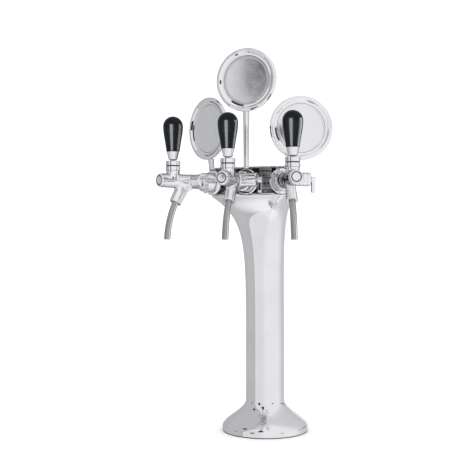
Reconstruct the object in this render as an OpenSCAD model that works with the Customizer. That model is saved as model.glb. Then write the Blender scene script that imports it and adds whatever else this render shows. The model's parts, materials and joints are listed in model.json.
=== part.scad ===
/* [Column] */
// Outer radius of the column tube
tube_r = 38; // [37:0.5:39]
// Outer radius of the round foot
foot_r = 85; // [83:1:90]
// Height at which the foot has narrowed to the tube
foot_h = 62; // [55:1:80]
// Height at which the hood begins to flare
hood_start = 190; // [180:5:200]
// Height of the hood's rim
hood_top = 467; // [460:1:475]
// Wall thickness of the column
shell_wall = 2.5; // [2:0.1:3]

/* [Head] */
// Sideways distance of the outer tap lobes from the middle
lobe_x = 54; // [52:1:58]
// Forward distance of the outer tap lobes from the column axis
lobe_y = 75; // [73:1:80]
// Radius of the head band around each outer tap
head_lobe_r = 23; // [22:0.5:24]
// Radius of the head band at the back
head_back_r = 31; // [30:0.5:32]
// Wall thickness of the head band
head_wall = 3; // [2.5:0.1:3.5]
// Height of the head band, with its lid
head_h = 50.5; // [49:0.5:54]
// Thickness of the lid
lid_t = 3; // [2.5:0.1:3.5]

/* [Taps] */
// Angle between neighbouring taps
fan_angle = 30; // [27:1:31]
// Height of the tap axis above the hood's rim
tap_rise = 21; // [20.5:0.5:22]
// Outer radius of the tap's barrel
barrel_r = 13; // [12.5:0.1:13.5]
// Distance of the handle from the wall flange
handle_x = 97; // [96:0.5:98]
// Height of the handle's pivot above the tap axis
pivot_z = 29; // [28.5:0.1:29.5]
// Length of the black grip
grip_h = 65; // [58:1:75]
// Largest radius of the black grip
grip_r = 18.5; // [16:0.5:19.5]
// Distance of the flow control from the wall flange
flow_x = 56; // [55.5:0.5:56.5]

/* [Spout] */
// Outer radius of the spout
spout_r = 6.2; // [5.8:0.1:6.2]
// Bend radius of the spout
spout_bend_r = 167; // [150:1:180]
// Slope of the spout at its socket, from straight down
spout_tilt = 27; // [25:1:29]

/* [Medallions] */
// Outer radius of a medallion
medallion_r = 60; // [55:1:62]
// Height of the middle medallion's centre above the tap axis
middle_rise = 192; // [185:1:210]
// Distance of the outer medallions' centres from the tap axis
outer_rise = 106; // [104:1:120]
// Outward lean of the left medallion
lean_left = 8.5; // [5:0.5:15]
// Outward lean of the right medallion
lean_right = 20; // [10:0.5:22]

/* [Base] */
// Radius of the circle of bolt holes
bolt_circle_r = 52; // [50:1:56]
// Radius of each bolt hole
bolt_hole_r = 4.5; // [3.5:0.5:5]

/* [Hidden] */
$fn = 48;
SIDE_NAMES = ["left", "middle", "right"];
function for_sides(name) = [for (side = SIDE_NAMES) str(name, "_", side)];

// Small steps: the reach of a cut past a face, and the gap of a close fit
past = 1;
fit = 0.05;

// Column
segments = 48;
gasket_t = 1.5;
lip_top = 9;
shoulder_h = 9;
shoulder_in = 5;
blend = 3;
flare_early = 0.28;
flare_power = 8;
lobe_shrink = 10;
back_shrink = 2;
ring_h = 8;
ring_out = foot_r - 19;
ring_bore_r = 30;
ring_flange_t = 4;
gasket_bore_r = foot_r - 17;
sleeve_start = 14;

// Head
head_z = hood_top;
band_h = head_h - lid_t;
tap_z = hood_top + tap_rise;
boss_out = 4;
boss_r = 20;
boss_x = -14;
seat_x = -16;
seat_front = -2;
seat_r = 16;
lug_r = 4.5;
lug_h = 8;
lug_in = 3.5;
lid_screw_r = 1.95;
lid_screw_head_r = 4;
lid_screw_head_h = 2.2;
lid_screw_h = 10;

// Shank, flange and coupling nut, along the tap axis from the wall flange
shank_r = 11;
shank_tail_r = 8;
shank_bore_r = 4;
shank_end = 14.1;
shank_tail_x = -40;
shank_step_x = -30;
bracket_t = 4;
bracket_r = 19;
locknut_r = 15;
locknut_t = 8;
line_nut_r = 13;
line_nut_t = 14;
line_nut_cap = 5;
flange_end = 9;
flange_r = 24;
nut_end = 30;
nut_r = 18;
collar_r = 14;
collar_end = 18;

// Beer line, in the upright plane of its shank
line_r = 4.75;
line_bore_r = 3.2;
line_first = 6;
line_reach = 70;
line_bend = 60;
line_top_bend_r = 22;
line_low_bend_r = 40;
line_bottom = 4;
tuck = 1;
sleeve_bore_r = 20;
sleeve_top = 245;

// Tap
root_r = 15;
root_h = 12;
barrel_end = 122;
nose_end = 128;
nose_r = barrel_r - 0.8;
nose_plug = 6;
nose_groove_out = 9.4;
nose_groove_in = 7.6;
inlet_r = 5.2;
inlet_end = 22;
chamber_start = 30;
chamber_r = 8;
neck_bore_r = 10.5;
neck_top = 18.6;
neck_r = 12.3;
bonnet_top = 36.5;
bonnet_r = 13.5;
bonnet_groove_z = 26;
bonnet_groove_h = 2.2;
bonnet_groove_depth = 1.6;
ball_r = 9;
arm = 10;
finger_r = 2.5;
lip_rise = 3.5;
lip_r = 8.45;
mouth_r = 12.2;
stud_r = 5;
seat_start = 72.2;
seat_end = 74.5;
seat_bore_r = 5.5;
valve_port_x = 80.5;
valve_port_r = 4.5;
valve_port_depth = 22;
ferrule_z = 38;
ferrule_top = 54;
ferrule_r = 11.3;
ferrule_low_r = 5.7;
ferrule_edge_r = 3;
rod_r = 3.5;
rod_h = 5;
grip_base_r = 12.4;
grip_seat_h = 6;
boss_side_end = 20;
side_bore_start = 5.5;
side_bore_r = 5.3;
side_neck_start = 11;
side_neck_r = 7;
housing_end = 41;
housing_grooves = [26, 33];
housing_groove_w = 1.2;
housing_groove_depth = 0.7;
side_boss_r = 12.5;
spindle_r = 4;
spindle_start = 9;
spindle_foot = 6.2;
spindle_collar_r = 5;
pin_start = 0.3;
pin_r = 1.5;
pin_h = 6.5;
eccentric = 3;
lever_t = 8;
lever_start = housing_end + 1.5;
lever_r = 4;
lever_drop = 20;
socket_x = 92;
socket_z = -41;
socket_r = 10.5;
socket_h = 36;
socket_taper = 1.6;
socket_bore_h = 24;
spout_bore_r = 5;
spout_grip = 12;
spout_end_tilt = 3;
gusset_x = 44;
gusset_bend = 30;
gusset_t = 13;
gusset_top = 6;
gusset_foot = [[-8, 2], [8, 9]];

// Valve stem: its head, rod, two guides and the fork the handle's finger moves
stem_head = 66.9;
stem_head_t = 2.5;
stem_head_r = 7;
stem_rod_r = 3.2;
stem_end = 114;
front_guide = [89.5, 92.5];
end_guide_x = 104;
fork_half = 4.2;
fork_gap_half = 3;
fork_w = 3.5;
fork_low = -3;
fork_bottom = 16;
fork_top = 19.6;
seal_x = stem_head + 3.8;
seal_r = 1.2;
seal_ring_r = 5.2;

// Flow cone: the tapered nose, the guide with its passages, and the block the pin moves
cone_tip = 19;
cone_tip_r = 2.4;
cone_end = 38;
cone_r = 4.2;
cone_guide_end = 43;
cone_rod_r = 3.5;
cone_hole_r = 1.2;
cone_hole_out = 5.8;
yoke_half = 3.2;
yoke_gap_half = 1.8;
yoke_back = 1.5;
yoke_front = 5;
yoke_half_h = 6;
yoke_gap_top = 0.5;

// Medallion
plate_r = 45.5;
stem_x = 4;
stem_low_r = 4.9;
stem_high_r = 6;
stem_foot = flange_r + 0.6;
stem_collar_h = 4;
lug_start = 12;
medallion_t = 7;
rim_back_r = 3;
rim_front_r = 2;
rim_flat = 6.8;
rim_slope = 9.8;
plate_seat = 2;
plate_t = 1.2;

function smooth(t) = t * t * (3 - 2 * t);
function arc(c, r, from, to, steps) =
    [for (k = [0:steps]) let (a = from + (to - from) * k / steps) c + r * [cos(a), sin(a)]];

// Share of the full hood shape reached at height z, from 0 on the tube to 1 at the rim
function flare_u(z) = min(1, max(0, (z - hood_start) / (hood_top - 5 - hood_start)));
function flare(z) = flare_early * pow(flare_u(z), 2) + (1 - flare_early) * pow(flare_u(z), flare_power);
// Radius of the round part of the column at height z, where the foot swells out
function foot_t(z) = min(1, max(0, (z - lip_top) / (foot_h - lip_top)));
function foot_radius(z) = tube_r + (foot_r - tube_r) * pow(cos(90 * pow(foot_t(z), 0.85)), 2);

// Outline of the column at height z as the blend of three circles, moved in by `inset`
function lobe_reach(z, a, side) =
    flare(z) * (side * lobe_x * cos(a) - lobe_y * sin(a)) + foot_radius(z)
    - flare(z) * (side == 0 ? back_shrink : lobe_shrink);
function back_reach(z) = foot_radius(z) - flare(z) * back_shrink;
function reach(z, a) = let (w = [back_reach(z), lobe_reach(z, a, -1), lobe_reach(z, a, 1)])
    blend * ln((exp(w[0] / blend) + exp(w[1] / blend) + exp(w[2] / blend)) / 3)
    + blend * ln(3) * flare(z);
function ring_point(z, a, inset) =
    let (h = reach(z, a) - inset, slope = (reach(z, a + 0.5) - reach(z, a - 0.5)) * 180 / PI)
    [h * cos(a) - slope * sin(a), h * sin(a) + slope * cos(a)];

// Heights and insets of the rings, from the foot's lip to the rounded shoulder
foot_levels = [for (k = [0:9]) lip_top + (foot_h - lip_top) * k / 9];
hood_levels = [for (k = [0:15]) hood_start + (hood_top - shoulder_h - hood_start) * sin(6 * k)];
side_levels = [for (z = concat([gasket_t], foot_levels, hood_levels)) [z, 0]];
shoulder_levels = [for (k = [1:4]) [hood_top - shoulder_h + shoulder_h * sin(90 * k / 4),
                                    shoulder_in * (1 - cos(90 * k / 4))]];
levels = concat(side_levels, shoulder_levels);
outer_points = [for (l = levels) for (j = [0:segments - 1])
    let (p = ring_point(l[0], 360 * j / segments, l[1])) [p[0], p[1], l[0]]];
inner_points = [for (k = [len(levels) - 1:-1:0]) for (j = [0:segments - 1])
    let (l = levels[k], p = ring_point(l[0], 360 * j / segments, l[1] + shell_wall)) [p[0], p[1], l[0]]];
ring_count = 2 * len(levels);
skin_faces = [for (k = [0:ring_count - 1]) for (j = [0:segments - 1])
    let (a = k * segments, b = ((k + 1) % ring_count) * segments, n = (j + 1) % segments)
    each [[a + j, b + n, a + n], [a + j, b + j, b + n]]];

// Outline of the head band, from three arcs and the straight sides that touch them
side_angle = atan2(lobe_y, -lobe_x)
    - acos((head_lobe_r - head_back_r) / norm([lobe_x, lobe_y]));
function head_points(grow) = concat(
    arc([lobe_x, -lobe_y], head_lobe_r + grow, -90, side_angle, 20),
    arc([0, 0], head_back_r + grow, side_angle, 180 - side_angle, 20),
    arc([-lobe_x, -lobe_y], head_lobe_r + grow, 180 - side_angle, 270, 20));
lug_places = [[0, head_back_r - head_wall - lug_in],
    for (s = [-1, 1]) [s * (lobe_x + head_lobe_r - head_wall - lug_in), 8 - lobe_y]];

// Centre of the wall flange of a tap, with side -1, 0 or 1
function flange_place(side) = side == 0
    ? [0, -lobe_y - head_lobe_r - boss_out, tap_z]
    : [side * lobe_x, -lobe_y, tap_z] + (head_lobe_r + boss_out)
        * [sin(fan_angle * side), -cos(fan_angle * side), 0];

// Medallion placing
function stand_rise(side) = side == 0 ? middle_rise : outer_rise;
function stand_lean(side) = side == 0 ? 0 : side < 0 ? lean_left : -lean_right;

module at_tap(side) translate(flange_place(side)) rotate([0, 0, -90 + fan_angle * side]) children();
module on_each_tap() for (side = [-1:1]) at_tap(side) children();
// A rod or bore along the tap axis, between two distances from the wall flange
module along(from, to, r) translate([from, 0, 0]) rotate([0, 90, 0]) cylinder(h = to - from, r = r);
module along_cone(from, to, r1, r2)
    translate([from, 0, 0]) rotate([0, 90, 0]) cylinder(h = to - from, r1 = r1, r2 = r2);
module upright(from, to, r) translate([0, 0, from]) cylinder(h = to - from, r = r);
// A rod or bore along the flow control's cross axis
module across(from, to, r) translate([flow_x, from, 0]) rotate([-90, 0, 0]) cylinder(h = to - from, r = r);
module block(low, high) translate(low) cube(high - low);

module column_shell() color("gainsboro")
    polyhedron(points = concat(outer_points, inner_points), faces = skin_faces);

module base_ring() color("gray") difference() {
    union() {
        cylinder(h = ring_h, r = ring_out, $fn = 96);
        translate([0, 0, gasket_t + 0.5])
            cylinder(h = ring_flange_t, r = foot_r - shell_wall - 0.6, $fn = 96);
    }
    upright(-past, ring_h + past, ring_bore_r);
    for (a = [45:90:315]) rotate([0, 0, a]) translate([bolt_circle_r, 0, 0])
        upright(-past, ring_h + past, bolt_hole_r);
}

module base_gasket() color("black") difference() {
    cylinder(h = gasket_t - 0.02, r = foot_r - 0.5, $fn = 96);
    translate([0, 0, -past]) cylinder(h = gasket_t + 2 * past, r = gasket_bore_r, $fn = 96);
}

module insulation_sleeve() color("dimgray") difference() {
    upright(sleeve_start, sleeve_top, tube_r - shell_wall - 1);
    upright(sleeve_start - past, sleeve_top + past, sleeve_bore_r);
}

module head_band() color("silver") difference() {
    union() {
        difference() {
            union() {
                translate([0, 0, head_z]) linear_extrude(band_h) polygon(head_points(0));
                on_each_tap() along(boss_x, 0, boss_r);
            }
            translate([0, 0, head_z - past]) linear_extrude(band_h + 2 * past)
                polygon(head_points(-head_wall));
        }
        intersection() {
            on_each_tap() along(seat_x, seat_front, seat_r);
            translate([0, 0, head_z]) linear_extrude(band_h) polygon(head_points(-past));
        }
        intersection() {
            for (p = lug_places) translate([p[0], p[1], head_z + band_h - lug_h])
                cylinder(h = lug_h, r = lug_r);
            translate([0, 0, head_z]) linear_extrude(band_h) polygon(head_points(-past));
        }
    }
    on_each_tap() along(seat_x - past, past, shank_r + 2 * fit);
    for (p = lug_places) translate([p[0], p[1], head_z + band_h - lug_h - past])
        cylinder(h = lug_h + 2 * past, r = lid_screw_r + fit);
}

module head_lid() color("silver") translate([0, 0, head_z + band_h]) difference() {
    linear_extrude(lid_t) polygon(head_points(0));
    for (p = lug_places) translate([p[0], p[1], 0]) {
        translate([0, 0, -past]) cylinder(h = lid_t + 2 * past, r = lid_screw_r + 0.3);
        translate([0, 0, lid_t - lid_screw_head_h])
            cylinder(h = lid_screw_head_h + fit, r1 = lid_screw_r + 0.3, r2 = lid_screw_head_r + 0.35);
    }
}

module head_lid_screws() color("gray") for (p = lug_places)
    translate([p[0], p[1], head_z + head_h]) {
        translate([0, 0, -lid_screw_head_h])
            cylinder(h = lid_screw_head_h - 0.1, r1 = lid_screw_r, r2 = lid_screw_head_r);
        upright(-lid_screw_h, -lid_screw_head_h, lid_screw_r);
    }

module shank(side) color("silver") at_tap(side) difference() {
    union() {
        along(shank_step_x, shank_end, shank_r);
        along(shank_tail_x, shank_step_x, shank_tail_r);
    }
    along(shank_tail_x - past, shank_end + past, shank_bore_r);
}

module shank_locknuts() color("darkgray") on_each_tap() difference() {
    translate([seat_x - locknut_t, 0, 0]) rotate([0, 90, 0])
        cylinder(h = locknut_t - fit, r = locknut_r, $fn = 6);
    along(seat_x - locknut_t - past, seat_x + past, shank_r + fit);
}

module line_nuts() color("darkgray") on_each_tap() difference() {
    translate([shank_tail_x - line_nut_cap, 0, 0]) rotate([0, 90, 0])
        cylinder(h = line_nut_t, r = line_nut_r, $fn = 6);
    along(shank_tail_x, shank_step_x, shank_tail_r + fit);
    along(shank_tail_x - line_nut_cap - past, shank_tail_x + past, line_r + fit);
}

// The line's route: straight out of the shank, a bend down, a slope, a bend to upright
line_bend_in = line_top_bend_r * sin(line_bend);
line_low_in = line_low_bend_r * (1 - sin(line_bend));
line_slope = (line_reach - line_first - line_bend_in - line_low_in) / cos(line_bend);
line_drop = line_top_bend_r * (1 - cos(line_bend)) + line_slope * sin(line_bend)
    + line_low_bend_r * cos(line_bend);
// An elbow whose ends lie just inside the straight stretches, a little thinner than they are
module elbow(bend_r, angle, r) rotate([90, 0, 0]) rotate([0, 0, 90 - angle - tuck])
    rotate_extrude(angle = angle + 2 * tuck) translate([bend_r, 0]) circle(r = r - 0.1);
module line_route(r, more) rotate([0, 0, 180]) {
    along(-more, line_first, r);
    translate([line_first, 0, -line_top_bend_r]) elbow(line_top_bend_r, line_bend, r);
    translate([line_first + line_bend_in, 0, line_top_bend_r * (cos(line_bend) - 1)])
        rotate([0, 90 + line_bend, 0]) cylinder(h = line_slope, r = r);
    translate([line_reach - line_low_bend_r, 0, -line_drop]) rotate([0, line_bend, 0])
        elbow(line_low_bend_r, 90 - line_bend, r);
    translate([line_reach, 0, line_bottom - tap_z - more])
        cylinder(h = tap_z - line_bottom - line_drop + more, r = r);
}
module beer_line(side) color("whitesmoke") at_tap(side) translate([shank_tail_x - 0.1, 0, 0])
    difference() {
        line_route(line_r, 0);
        line_route(line_bore_r, past);
    }

module tap_flanges() color("silver") on_each_tap() difference() {
    union() {
        along(bracket_t + fit, flange_end - 2, flange_r);
        along_cone(flange_end - 2, flange_end, flange_r, flange_r - 1.5);
    }
    along(0, flange_end + past, shank_r + 2 * fit);
}

module coupling_nuts() color("silver") on_each_tap() difference() {
    union() {
        along_cone(flange_end + fit, flange_end + 2, nut_r - 1.5, nut_r);
        along(flange_end + 2, nut_end - 2, nut_r);
        along_cone(nut_end - 2, nut_end, nut_r, nut_r - 2);
    }
    along(flange_end - past, shank_end + past, shank_r + fit);
    along(shank_end - 0.1, collar_end + 0.2, collar_r + 0.2);
    along(collar_end, nut_end + past, barrel_r + 0.3);
}

// Ring and lug under the wall flange, with the stem that carries the medallion
module medallion_bracket(side) color("silver") at_tap(side) rotate([stand_lean(side), 0, 0])
    difference() {
        union() {
            along(fit, bracket_t, bracket_r);
            block([fit, -stem_low_r, lug_start], [bracket_t, stem_low_r, stem_foot + 1.4]);
            translate([stem_x, 0, stem_foot]) {
                cylinder(h = stand_rise(side) - medallion_r - flange_r + rim_back_r,
                         r1 = stem_low_r, r2 = stem_high_r);
                cylinder(h = stem_collar_h, r = stem_low_r + 0.9);
            }
        }
        along(0, bracket_t + past, shank_r + 2 * fit);
        translate([stem_x, 0, stand_rise(side)]) rotate([0, 90, 0])
            cylinder(h = 4 * stem_high_r, r = medallion_r, center = true, $fn = 96);
    }

// Half section of a medallion: flat back, rounded edge, flat rim, slope and inner ring
medallion_profile = concat(
    [[0, 0], [medallion_r - rim_back_r - 2, 0]],
    arc([medallion_r - rim_back_r, rim_back_r], rim_back_r, -90, 0, 6),
    arc([medallion_r - rim_front_r, medallion_t - rim_front_r], rim_front_r, 0, 90, 6),
    [[medallion_r - rim_flat, medallion_t], [medallion_r - rim_slope, medallion_t - 2.8],
     [plate_r + 0.7, medallion_t - 3.6], [plate_r + 0.1, plate_seat], [0, plate_seat]]);
module on_stand(side) at_tap(side) rotate([stand_lean(side), 0, 0])
    translate([stem_x - medallion_t / 2, 0, stand_rise(side)]) rotate([0, 90, 0]) children();
module medallion_disc(side) color("silver") on_stand(side)
    rotate_extrude($fn = 96) polygon(medallion_profile);
module medallion_insert(side) color("lightgray") on_stand(side)
    translate([0, 0, plate_seat + fit]) cylinder(h = plate_t, r = plate_r, $fn = 96);

// The point of the spout socket's mouth, facing along its slope
module at_socket() translate([socket_x, 0, socket_z]) rotate([0, -spout_tilt, 0]) children();
module tap_body(side) color("silver") at_tap(side) difference() {
    union() {
        along(shank_end + 0.1, collar_end, collar_r);
        along(collar_end, barrel_end, barrel_r);
        along_cone(nut_end + 0.5, nut_end + root_h, root_r, barrel_r);
        translate([handle_x, 0, 0]) upright(0, neck_top, neck_r);
        across(0, boss_side_end, side_boss_r);
        at_socket() cylinder(h = socket_h, r1 = socket_r, r2 = socket_r - socket_taper);
        translate([0, gusset_t / 2, 0]) rotate([90, 0, 0]) linear_extrude(gusset_t)
            polygon(concat([[socket_x + gusset_top, 0], [gusset_x, 0]],
                arc([gusset_x, -barrel_r - gusset_bend + 1], gusset_bend, 90, 27, 10),
                [for (p = gusset_foot) [socket_x, socket_z] + p]));
    }
    along(0, inlet_end, inlet_r);
    along_cone(inlet_end, chamber_start, inlet_r, chamber_r);
    along(chamber_start, seat_start, chamber_r);
    along(seat_start - past, seat_end + past, seat_bore_r);
    along(seat_end, barrel_end + past, chamber_r);
    translate([handle_x, 0, 0]) upright(0, neck_top + past, neck_bore_r);
    translate([valve_port_x, 0, 0]) upright(-valve_port_depth, 0, valve_port_r);
    at_socket() {
        upright(0, socket_bore_h, spout_bore_r - 0.5);
        upright(-past, spout_grip, spout_r + fit);
    }
    across(side_bore_start, boss_side_end + past, side_bore_r);
    across(side_neck_start, boss_side_end + past, side_neck_r + fit);
}

module spout(side) color("darkgray") at_tap(side) at_socket() difference() {
    spout_route(spout_r, 0);
    spout_route(spout_bore_r, past);
}
// A straight stub in the socket, then the bend that turns nearly straight down
module spout_route(r, more) {
    upright(0, spout_grip - 0.2 + more, r);
    translate([-spout_bend_r, 0, 0]) rotate([90, 0, 0]) rotate([0, 0, spout_end_tilt - spout_tilt])
        rotate_extrude(angle = spout_tilt - spout_end_tilt + tuck / 2, $fn = 96)
            translate([spout_bend_r, 0]) circle(r = r - 0.2, $fn = 48);
}

module nose_caps() color("silver") on_each_tap() difference() {
    union() {
        along(barrel_end - nose_plug, barrel_end + 1, chamber_r - fit);
        along(barrel_end + fit, nose_end - 1.5, nose_r);
        along_cone(nose_end - 1.5, nose_end, nose_r, nose_r - 1.5);
    }
    difference() {
        along(nose_end - 1, nose_end + past, nose_groove_out);
        along(nose_end - 1 - past, nose_end + 2 * past, nose_groove_in);
    }
}

module bonnets() color("silver") on_each_tap() translate([handle_x, 0, 0]) difference() {
    union() {
        upright(neck_top + fit, bonnet_top - 1, bonnet_r);
        translate([0, 0, bonnet_top - 1]) cylinder(h = 1, r1 = bonnet_r, r2 = bonnet_r - 1);
    }
    upright(neck_top - past, pivot_z + 0.2, neck_bore_r + 0.1);
    translate([0, 0, pivot_z]) sphere(r = ball_r + 0.4);
    translate([0, 0, pivot_z + lip_rise]) cylinder(h = 3, r1 = lip_r, r2 = mouth_r);
    upright(pivot_z + lip_rise + 2.9, bonnet_top + past, mouth_r);
    translate([0, 0, bonnet_groove_z]) rotate_extrude()
        translate([bonnet_r - bonnet_groove_depth, 0]) square([bonnet_groove_depth + past, bonnet_groove_h]);
}

module pivot_seats() color("ivory") on_each_tap() translate([handle_x, 0, 0]) difference() {
    upright(pivot_z - 4.5, pivot_z, neck_bore_r);
    translate([0, 0, pivot_z]) sphere(r = ball_r + 0.3);
}

module lever(side) color("silver") at_tap(side) translate([handle_x, 0, 0]) {
    translate([0, 0, pivot_z - arm]) sphere(r = finger_r);
    upright(pivot_z - arm, pivot_z, finger_r - 0.5);
    translate([0, 0, pivot_z]) sphere(r = ball_r);
    upright(pivot_z, ferrule_z - 0.1, stud_r);
    upright(ferrule_z - 1, ferrule_top + rod_h, rod_r);
}

ferrule_profile = concat(
    [[rod_r + 0.1, ferrule_z], [ferrule_low_r, ferrule_z]],
    arc([ferrule_low_r, ferrule_z + ferrule_edge_r], ferrule_edge_r, -75, -12, 5),
    [[ferrule_r, ferrule_top - 1], [ferrule_r - 0.3, ferrule_top - 0.1], [rod_r + 0.1, ferrule_top - 0.1]]);
module ferrule(side) color("silver") at_tap(side) translate([handle_x, 0, 0])
    rotate_extrude() polygon(ferrule_profile);

grip_dome_z = ferrule_top + grip_h - grip_r;
grip_profile = concat(
    [[0, ferrule_top]],
    [for (k = [0:12]) let (t = k / 12) [grip_base_r + (grip_r - grip_base_r) * smooth(0.15 + 0.85 * t)
        - (1 - t) * (grip_r - grip_base_r) * smooth(0.15), ferrule_top + (grip_dome_z - ferrule_top) * t]],
    arc([0, grip_dome_z], grip_r, 5, 90, 14));
module grip(side) color("black") at_tap(side) translate([handle_x, 0, 0]) difference() {
    rotate_extrude() polygon(grip_profile);
    upright(ferrule_top - past, ferrule_top + grip_seat_h, rod_r + 0.1);
}

module valve_stem(side) color("gray") at_tap(side) difference() {
    union() {
        along(stem_head, stem_head + stem_head_t, stem_head_r);
        along(stem_head, stem_end, stem_rod_r);
        along(front_guide[0], front_guide[1], chamber_r - fit);
        along(end_guide_x, stem_end, chamber_r - fit);
        block([handle_x - fork_half, -fork_w, fork_low], [handle_x + fork_half, fork_w, fork_top]);
    }
    block([handle_x - fork_gap_half, -fork_w - past, fork_bottom],
          [handle_x + fork_gap_half, fork_w + past, fork_top + past]);
}

module valve_seal(side) color("black") at_tap(side) translate([seal_x, 0, 0])
    rotate([0, 90, 0]) rotate_extrude() translate([seal_ring_r, 0]) circle(r = seal_r);

module flow_housing(side) color("silver") at_tap(side) difference() {
    union() {
        across(side_neck_start + 0.2, boss_side_end + 0.1, side_neck_r);
        across(boss_side_end + 0.1, housing_end - 1.5, side_boss_r);
        translate([flow_x, housing_end - 1.5, 0]) rotate([-90, 0, 0])
            cylinder(h = 1.5, r1 = side_boss_r, r2 = side_boss_r - 1.5);
    }
    for (y = housing_grooves) difference() {
        across(y, y + housing_groove_w, side_boss_r + past);
        across(y - past, y + housing_groove_w + past, side_boss_r - housing_groove_depth);
    }
    across(0, housing_end + past, spindle_r + fit);
}

module flow_lever(side) color("silver") at_tap(side) {
    across(spindle_start, lever_start + lever_t / 2, spindle_r);
    across(spindle_foot, spindle_start, spindle_collar_r);
    translate([flow_x, pin_start, -eccentric]) rotate([-90, 0, 0]) cylinder(h = pin_h, r = pin_r);
    across(lever_start, lever_start + lever_t, spindle_collar_r);
    block([flow_x - lever_r, lever_start + 1, -lever_drop],
          [flow_x + lever_r, lever_start + lever_t - 1, 0]);
    translate([0, 0, -lever_drop]) across(lever_start + 1, lever_start + lever_t - 1, lever_r);
}

module flow_cone(side) color("gray") at_tap(side) difference() {
    union() {
        along_cone(cone_tip, cone_end, cone_tip_r, cone_r);
        along(cone_end, cone_guide_end, chamber_r - fit);
        along(cone_guide_end, flow_x - 2, cone_rod_r);
        block([flow_x - yoke_half, -yoke_back, -yoke_half_h], [flow_x + yoke_half, yoke_front, yoke_half_h]);
    }
    block([flow_x - yoke_gap_half, -yoke_back - past, -yoke_half_h - past],
          [flow_x + yoke_gap_half, yoke_front + past, yoke_gap_top]);
    for (a = [45:90:315]) rotate([a, 0, 0]) translate([0, 0, cone_hole_out])
        along(cone_end - past, cone_guide_end + past, cone_hole_r);
}

column_shell();
base_ring();
base_gasket();
insulation_sleeve();
head_band();
head_lid();
head_lid_screws();
shank_locknuts();
line_nuts();
tap_flanges();
coupling_nuts();
bonnets();
pivot_seats();
nose_caps();
for (side = [-1:1]) {
    name = SIDE_NAMES[side + 1];
    beer_line(side);
    shank(side);
    medallion_bracket(side);
    medallion_disc(side);
    medallion_insert(side);
    tap_body(side);
    spout(side);
    flow_housing(side);
    lever(side);
    ferrule(side);
    grip(side);
    valve_stem(side);
    valve_seal(side);
    flow_lever(side);
    flow_cone(side);
}
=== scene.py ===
"""Beer tap tower: the looks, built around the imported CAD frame.

Lengths in the shape code are millimetres.
"""

import json
import math

import bmesh
import bpy
import numpy as np
from mathutils import Matrix, Vector


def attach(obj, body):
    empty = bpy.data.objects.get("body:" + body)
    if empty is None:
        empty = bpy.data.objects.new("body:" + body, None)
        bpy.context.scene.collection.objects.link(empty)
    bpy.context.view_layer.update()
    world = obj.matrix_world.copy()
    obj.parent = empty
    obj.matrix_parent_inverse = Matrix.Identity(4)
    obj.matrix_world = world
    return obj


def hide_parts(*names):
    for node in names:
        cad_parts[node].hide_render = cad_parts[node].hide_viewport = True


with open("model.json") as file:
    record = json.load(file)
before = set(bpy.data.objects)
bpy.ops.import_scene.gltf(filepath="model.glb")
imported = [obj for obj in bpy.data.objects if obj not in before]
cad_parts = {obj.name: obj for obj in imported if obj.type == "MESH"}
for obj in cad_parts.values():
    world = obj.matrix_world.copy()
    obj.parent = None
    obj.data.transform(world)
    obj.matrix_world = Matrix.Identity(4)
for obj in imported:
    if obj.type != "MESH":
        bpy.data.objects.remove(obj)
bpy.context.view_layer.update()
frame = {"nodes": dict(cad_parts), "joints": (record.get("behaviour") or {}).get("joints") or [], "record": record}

MM = 0.001
SIDES = ("left", "middle", "right")
# in a tap's own frame: along to the handle, up to its pivot, along to the flow control
HANDLE_X, PIVOT_Z, FLOW_X = 97, 29, 56
JOINTS = {j["name"]: j for j in frame["joints"]}
SLOTS = {m["slot"]: m for m in frame["record"]["materials"]}


# ---------------------------------------------------------------- places
def tap_frame(side):
    """The tap's own frame: x forward from the wall flange, y across, z up."""
    joint = JOINTS[f"tap_handle_{side}"]
    across = Vector(joint["axis"]).normalized()
    up = Vector((0, 0, 1))
    forward = across.cross(up)
    origin = Vector(joint["pos_m"]) - forward * HANDLE_X * MM - up * PIVOT_Z * MM
    rows = [[forward[k], across[k], up[k], origin[k]] for k in range(3)]
    return Matrix(rows + [[0, 0, 0, 1]])


def shift(x=0, y=0, z=0):
    return Matrix.Translation(Vector((x, y, z)) * MM)


def turn(angle, axis):
    return Matrix.Rotation(math.radians(angle), 4, axis)


ALONG = turn(90, "Y")  # a lathe's axis laid along the tap
ACROSS = turn(-90, "X")  # a lathe's axis laid across the tap
TAPS = {side: tap_frame(side) for side in SIDES}


# ---------------------------------------------------------------- mesh tools
STRAIGHT = 0.01  # a corner flatter than this, in radians, gets no fillet
EDGE_SHARE = 0.49  # the most of an edge that one fillet takes
ON_AXIS = 1e-4  # a smaller radius than this lies on the axis
PULLS, PULL_LIMIT = 5, 0.4  # passes that pull a skin onto its field, and the longest pull in steps
PROBE, LEAST_SLOPE = 0.02, 0.2  # reach of a slope measurement, and the smallest squared slope
NONZERO = 1e-9


def make(name, points, faces, normals=None, matrix=Matrix.Identity(4)):
    """A smooth-shaded piece from points in millimetres, with outward faces."""
    mesh = bpy.data.meshes.new(name)
    mesh.from_pydata((np.asarray(points, float) * MM).tolist(), [], faces)
    bm = bmesh.new()
    bm.from_mesh(mesh)
    bmesh.ops.recalc_face_normals(bm, faces=bm.faces)
    bm.to_mesh(mesh)
    bm.free()
    mesh.shade_smooth()
    if normals is not None:
        own = np.zeros(len(mesh.vertices) * 3)
        mesh.vertices.foreach_get("normal", own)
        n = np.asarray(normals, float)
        n = np.where((n * own.reshape(-1, 3)).sum(1, keepdims=True) < 0, -n, n)
        mesh.normals_split_custom_set_from_vertices(n.tolist())
    piece = bpy.data.objects.new(name, mesh)
    bpy.context.scene.collection.objects.link(piece)
    piece.matrix_world = matrix
    return piece


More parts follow.
